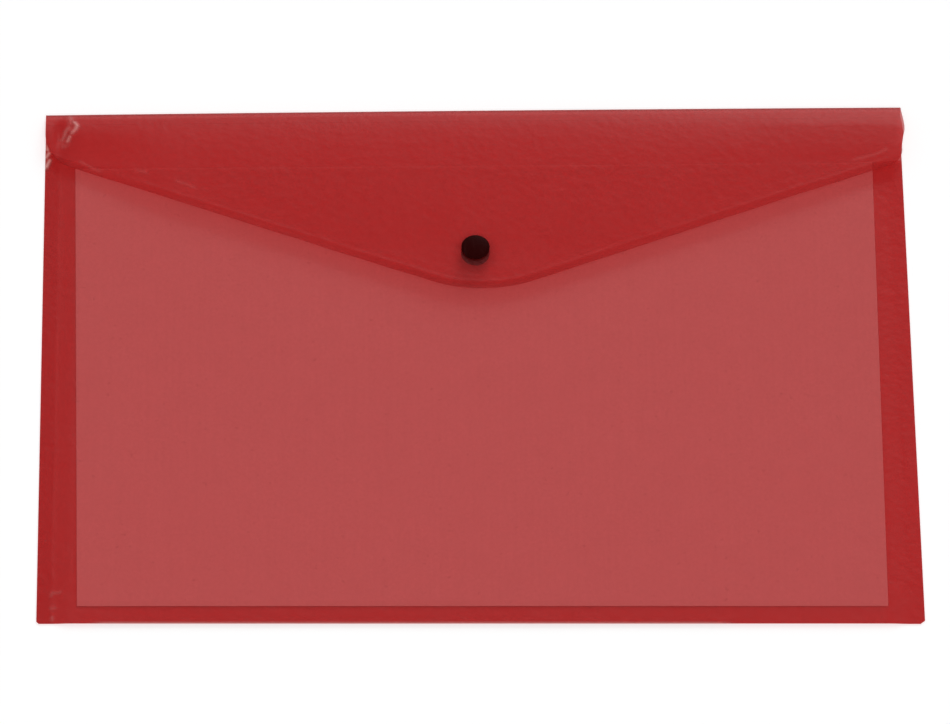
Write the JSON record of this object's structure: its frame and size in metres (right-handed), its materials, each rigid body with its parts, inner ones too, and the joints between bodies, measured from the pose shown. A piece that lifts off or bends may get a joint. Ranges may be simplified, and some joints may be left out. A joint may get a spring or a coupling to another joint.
{
  "type": "document wallet",
  "caption": "Flat see-through film wallet with a pointed fold-over flap, welded sides and a press stud, holding a sheet of paper.",
  "frame": {"origin": "underside of the back panel, in the middle of the width and height", "axes": "lying on its back: +X along the folds to the right, +Y from the bottom fold to the top fold, +Z out of the front"},
  "size_m": [0.36, 0.25, 0.007],
  "materials": {
    "film": "see-through red polypropylene film, satin, fine scratches",
    "stud": "near-black moulded plastic, soft gloss",
    "paper": "plain white uncoated paper"
  },
  "bodies": {
    "pocket": {"back_panel": "film", "bottom_fold": "film", "front_panel": "film", "left_side_seam": "film", "right_side_seam": "film", "top_fold_back": "film", "stud_knob": "stud", "stud_back_cap": "stud"},
    "flap": {"flap_fold": "film", "flap_panel": "film", "stud_outer_cap": "stud", "stud_socket": "stud"},
    "document": {"document_sheet": "paper"}
  },
  "joints": [
    {"name": "flap_hinge", "type": "hinge", "parent": "pocket", "child": "flap", "pos_m": [0, 0.125, 0.00295], "axis": [-1, 0, 0], "range_deg": [0, 179]},
    {"name": "document_slide", "type": "slide", "parent": "pocket", "child": "document", "axis": [0, 1, 0], "range_m": [-0.007, 0.022]}
  ]
}
